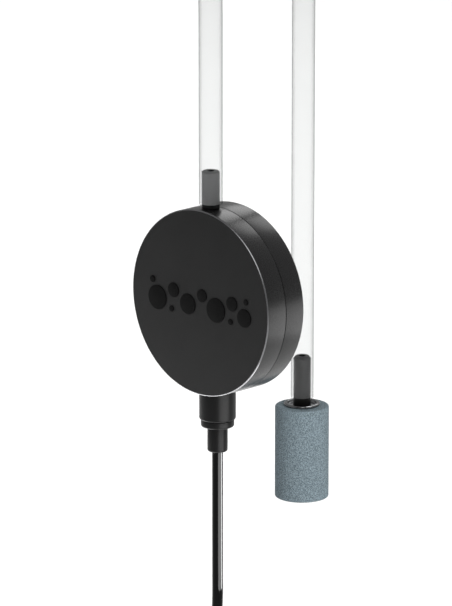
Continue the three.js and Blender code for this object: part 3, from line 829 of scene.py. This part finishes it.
def air_stone():
    """The stone, with a mesh fine enough for its grains, its metal collar and its nipple."""
    low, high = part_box("air_stone")
    radius, bottom, top = (high.x - low.x) / 2, low.z, high.z
    spacing = 0.21 * mm
    corners = rounded([
        (0, bottom, 0),
        (radius, bottom, 0.45 * mm),
        (radius, top, 0.45 * mm),
        (4.2 * mm, top, 0.1 * mm),
        (4.2 * mm, top - 0.7 * mm, 0),
        (1.85 * mm, top - 0.7 * mm, 0),
        (1.85 * mm, top - 12 * mm, 0),
        (0, top - 12 * mm, 0),
    ])
    outline = []
    for here, after in zip(corners, corners[1:]):
        steps = max(1, round(math.dist(here, after) / spacing))
        start, way = np.array(here), np.array(after) - np.array(here)
        outline += [tuple(start + way * k / steps) for k in range(steps)]
    outline.append(corners[-1])
    stone = revolve("sintered_stone", outline, (STONE.x, STONE.y, 0), "Z", 208, GRIT)
    mesh = stone.data
    moved = []
    for vertex, normal in zip(mesh.vertices, mesh.vertex_normals):
        rough = noise_of.noise(vertex.co / GRAIN_SIZE)
        moved += list(vertex.co + normal.vector * (rough * GRAIN_HEIGHT - GRAIN_SINK) * mm)
    mesh.vertices.foreach_set("co", moved)
    for face in mesh.polygons:
        face.use_smooth = True
    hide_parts("air_stone")
    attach(stone, "stone")

    collar = [
        (2.35 * mm, top - 0.5 * mm, 0),
        (4.0 * mm, top - 0.5 * mm, 0),
        (4.0 * mm, top + 0.02 * mm, 0),
        (4.8 * mm, top + 0.02 * mm, 0.35 * mm),
        (4.75 * mm, top + 0.8 * mm, 0.42 * mm),
        (3.85 * mm, top + 0.8 * mm, 0.3 * mm),
        (3.65 * mm, top + 0.1 * mm, 0.25 * mm),
        (2.35 * mm, top + 0.1 * mm, 0),
    ]
    grommet = fine_turned("stone_grommet", "stone_collar", collar, STONE, DARK_METAL,
                          "stone")

    tip, hose_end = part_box("stone_nipple")[1].z, HOSE_ROUTE[-1][1] * mm
    nipple = [
        (AIRWAY, top - 11 * mm, 0),
        (1.6 * mm, top - 11 * mm, 0),
        (1.6 * mm, top - 1 * mm, 0),
        (SPIGOT_RADIUS, top - 0.4 * mm, 0.2 * mm),
        (SPIGOT_RADIUS, hose_end, 0),
        (SPIGOT_RADIUS, tip - 0.6 * mm, 0.08 * mm),
        (1.75 * mm, tip, 0.06 * mm),
        (AIRWAY, tip, 0.1 * mm),
    ]
    # The part inside the hose has the painted light copy of the black plastic.
    spigot = fine_turned("stone_spigot", "stone_nipple", nipple, STONE, NIPPLE_PAINTED_LIGHT,
                         "stone")
    root_below_painted_light(spigot, hose_end)
    return stone, grommet


# ---- pads, tie and plug -------------------------------------------------------------------------

STEM_PITCH, STEM_SIDES = 1.55 * mm, 8
STEM_MARGIN = 0.75 * mm


def fastener_pads():
    """The two halves of a reclosable fastener: mushroom-headed stems on tape with a foam back."""
    pads = (("wall_fastener", "wall_pad", "wall"), ("pump_fastener", "pump_pad", "pump"))
    for name, node, body in pads:
        low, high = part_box(node)
        radius = (high.x - low.x) / 2
        outer, face, out = (high.y, low.y, -1) if body == "wall" else (low.y, high.y, 1)
        glue, tape_top = outer + out * 0.35 * mm, outer + out * 0.65 * mm
        backing = revolve(name, rounded([
            (0, outer, 0),
            (radius, outer, 0.06 * mm),
            (radius, glue, 0.05 * mm),
            (radius - 0.12 * mm, glue, 0),
            (radius - 0.12 * mm, tape_top, 0.1 * mm),
            (0, tape_top, 0),
        ], 3), (0, 0, 0), "Y", 192, TAPE)
        backing.data.materials.append(FOAM)
        for polygon in backing.data.polygons:
            if abs(polygon.center.y - outer) < 0.33 * mm:
                polygon.material_index = 1
        # Radius in mm, and height, up one stem to the middle of its head.
        stem = [
            (0.17, tape_top - out * 0.05 * mm),
            (0.15, face - out * 0.42 * mm),
            (0.4, face - out * 0.36 * mm),
            (0.42, face - out * 0.2 * mm),
            (0.24, face),
        ]
        vertices, faces = [], []
        sides = STEM_SIDES
        count = int(radius / STEM_PITCH) + 2
        for row in range(-count, count + 1):
            for column in range(-count, count + 1):
                x, z = (column + 0.5 * (row % 2)) * STEM_PITCH, row * STEM_PITCH * 0.866
                if math.hypot(x, z) > radius - STEM_MARGIN:
                    continue
                first = len(vertices)
                for r, y in stem:
                    vertices += [(x + r * mm * math.cos(a), y, z + r * mm * math.sin(a))
                                 for a in np.arange(sides) * 2 * math.pi / sides]
                vertices.append((x, face, z))
                for ring in range(len(stem) - 1):
                    at = first + ring * sides
                    faces += [(at + k, at + (k + 1) % sides,
                               at + sides + (k + 1) % sides, at + sides + k) for k in range(sides)]
                top = len(vertices) - 1
                faces += [(top - sides + k, top - sides + (k + 1) % sides, top) for k in range(sides)]
                faces.append(tuple(first + k for k in range(sides)))
        stems = piece(name + "_stems", vertices, faces, HOOKS)
        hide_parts(node)
        for made in (backing, stems):
            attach(made, body)


def rectangle(width, depth, corner, steps=6):
    w, d = width / 2, depth / 2
    return rounded([(-w, -d, corner), (w, -d, corner), (w, d, corner), (-w, d, corner)], steps)


def loft(name, sections, place, look):
    """A closed bar through rounded rectangles, each given as (height, width, depth, corner)."""
    rings = [[(x + place[0], y + place[1], z) for x, y in rectangle(w, d, corner)]
             for z, w, d, corner in sections]
    n = len(rings[0])
    faces = [list(range(n)), list(range((len(rings) - 1) * n, len(rings) * n))[::-1]]
    faces += [[i * n + k, i * n + (k + 1) % n, (i + 1) * n + (k + 1) % n, (i + 1) * n + k]
              for i in range(len(rings) - 1) for k in range(n)]
    return piece(name, [v for ring in rings for v in ring], faces, look)


def tie():
    """A strap of hook-and-loop tape round the coil's upper side, its free end lapped over."""
    low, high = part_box("cord_coil")
    inner, outer = 11.6 * mm, (high.x - low.x) / 2
    deep = (high.y - low.y) / 2
    middle_r, slack, thick, width = (inner + outer) / 2, 0.35 * mm, 0.45 * mm, 4.4 * mm

    def ring(grow):
        w, d = (outer - inner) / 2 + slack + grow, deep + slack + grow
        near, far = 1.6 * mm + grow, 4.4 * mm + grow
        return rounded([(-w, -d, near), (w, -d, far), (w, d, far), (-w, d, near)], 8)

    def strip(skins, across, closed):
        """The sheet between two outlines with as many points, `across` wide."""
        count, first = len(skins[0]), len(vertices)
        for h in (-across / 2, across / 2):
            for skin in skins:
                vertices.extend((u, v, h) for u, v in skin)
        at = lambda end, skin, k: first + (end * 2 + skin) * count + k % count
        for k in range(count if closed else count - 1):
            for side in (0, 1):
                faces.append([at(side, 0, k), at(side, 0, k + 1), at(side, 1, k + 1), at(side, 1, k)])
                faces.append([at(0, side, k), at(0, side, k + 1), at(1, side, k + 1), at(1, side, k)])
        if not closed:
            faces.extend([at(0, 0, k), at(0, 1, k), at(1, 1, k), at(1, 0, k)] for k in (0, count - 1))

    vertices, faces = [], []
    strip([ring(0), ring(thick)], width, True)
    over, top = ring(thick + 0.03 * mm), ring(2 * thick)
    lapped = sorted((k for k, (x, y) in enumerate(over) if x > 0 and y < 3 * mm),
                    key=lambda k: over[k][1])
    strip([[over[k] for k in lapped], [top[k] for k in lapped]], width * 0.94, False)
    lean = math.radians(20)
    placed = []
    for u, v, h in vertices:
        r = middle_r + u
        placed.append((COIL.x + r * math.sin(lean) + h * math.cos(lean), COIL.y + v,
                       COIL.z + r * math.cos(lean) - h * math.sin(lean)))
    strap = piece("lead_tie", placed, faces, TAPE)
    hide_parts("cord_tie")
    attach(strap, "pump")
    return strap


def plug():
    """The flat plug: a ribbed sleeve, a body with grip bars, a steel shell and the blade in it."""
    low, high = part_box("plug_relief")
    place = (PLUG.x, PLUG.y)
    ribs = [(0, high.z, 0), (2.0 * mm, high.z, 0.3 * mm)]
    for k in range(4):
        z = high.z - (1.1 + 1.35 * k) * mm
        r = (2.08 + 0.16 * k) * mm
        ribs += [(r, z, 0.12 * mm), (r - 0.35 * mm, z - 0.15 * mm, 0.1 * mm),
                 (r - 0.35 * mm, z - 0.55 * mm, 0.1 * mm), (r + 0.05 * mm, z - 0.7 * mm, 0.12 * mm)]
    ribs += [(2.8 * mm, low.z, 0), (0, low.z, 0)]
    sleeve = revolve("plug_sleeve", rounded(ribs, 3), (*place, 0), "Z", 64, PLUG_PLASTIC)

    low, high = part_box("plug_body")
    w, d, corner = high.x - low.x, high.y - low.y, 1.8 * mm
    edge, steps = 1.1 * mm, 6
    turn = [math.radians(90 * k / steps) for k in range(steps + 1)]
    top = [(high.z - edge * (1 - math.sin(a)), w - 2 * edge * (1 - math.cos(a)),
            d - 2 * edge * (1 - math.cos(a)), corner) for a in reversed(turn)]
    waist = [
        (high.z - 4 * mm, w, d, corner),
        (high.z - 6 * mm, w - 0.7 * mm, d, corner),
        (low.z + 6 * mm, w - 0.7 * mm, d, corner),
        (low.z + 4 * mm, w, d, corner),
    ]
    foot = [
        (low.z + 0.4 * mm, w, d, corner),
        (low.z + 0.1 * mm, w - 0.2 * mm, d - 0.2 * mm, corner),
        (low.z, w - 0.8 * mm, d - 0.8 * mm, 1.6 * mm),
    ]
    body = loft("plug_grip", top + waist + foot, place, PLUG_PLASTIC)
    for k in range(5):
        z = (low.z + high.z) / 2 + (k - 2) * 1.3 * mm
        body = join(body, loft("bar", [
            (z - 0.3 * mm, 7 * mm, d + 0.1 * mm, 0.2 * mm),
            (z - 0.15 * mm, 7.2 * mm, d + 0.4 * mm, 0.25 * mm),
            (z + 0.15 * mm, 7.2 * mm, d + 0.4 * mm, 0.25 * mm),
            (z + 0.3 * mm, 7 * mm, d + 0.1 * mm, 0.2 * mm),
        ], place, PLUG_PLASTIC))

    low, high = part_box("plug_shell")
    w, d = high.x - low.x, high.y - low.y
    wall = 0.32 * mm
    steel = loft("plug_sheet", [
        (low.z, w - 0.25 * mm, d - 0.25 * mm, 0.4 * mm),
        (low.z + 0.35 * mm, w, d, 0.5 * mm),
        (high.z, w, d, 0.5 * mm),
    ], place, STEEL)
    tools = [loft("room", [
        (low.z - 1 * mm, w - 2 * wall, d - 2 * wall, 0.25 * mm),
        (high.z - 0.4 * mm, w - 2 * wall, d - 2 * wall, 0.25 * mm),
    ], place, STEEL)]
    z = low.z + 6.2 * mm
    for x in (-2.9 * mm, 2.9 * mm):
        tools.append(loft("window", [
            (z - 1.1 * mm, 2.3 * mm, d + 2 * mm, 0.2 * mm),
            (z + 1.1 * mm, 2.3 * mm, d + 2 * mm, 0.2 * mm),
        ], (place[0] + x, place[1]), STEEL))
    steel = cut(steel, *tools)

    low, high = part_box("plug_tongue")
    w, d = high.x - low.x, high.y - low.y
    tongue = loft("plug_blade", [
        (low.z, w - 0.6 * mm, d - 0.5 * mm, 0.2 * mm),
        (low.z + 0.35 * mm, w, d, 0.2 * mm),
        (high.z, w, d, 0.2 * mm),
    ], ((low.x + high.x) / 2, (low.y + high.y) / 2), NYLON)

    made = {"plug_relief": (sleeve, "cord_sheath"), "plug_body": (body, "cord_sheath"),
            "plug_shell": (steel, "steel"), "plug_tongue": (tongue, "nylon")}
    for node, (part, slot) in made.items():
        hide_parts(node)
        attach(part, "pump")
    return [part for part, _ in made.values()]


camera()
air_hose()
lead, lead_line = power_lead()
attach(lead, "pump")
covers = casing()
bubbles()
cover_screws()
outlet()
fittings = cable_entry()
stone, grommet = air_stone()
fastener_pads()
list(plug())
tie()
studio(covers, stone, grommet, lead, fittings)

LOOKS = {
    "casing": RIM, "fitting": FITTING, "cord_sheath": SHEATH, "clear_hose": PVC, "stone": GRIT,
    "dark_metal": DARK_METAL, "steel": STEEL, "brass": BRASS, "piezo": CERAMIC, "rubber": RUBBER,
    "silicone": SILICONE, "nylon": NYLON, "circuit_board": BOARD, "chip": CHIP,
    "capacitor": CAPACITOR, "felt": FELT, "hook_tape": TAPE, "red_wire": RED, "black_wire": BLACK,
    "gold": GOLD,
}
for part in frame["record"]["subparts"]:
    node = frame["nodes"][part["node"]]
    node.data.materials.clear()
    node.data.materials.append(LOOKS[part["material_slot"]])
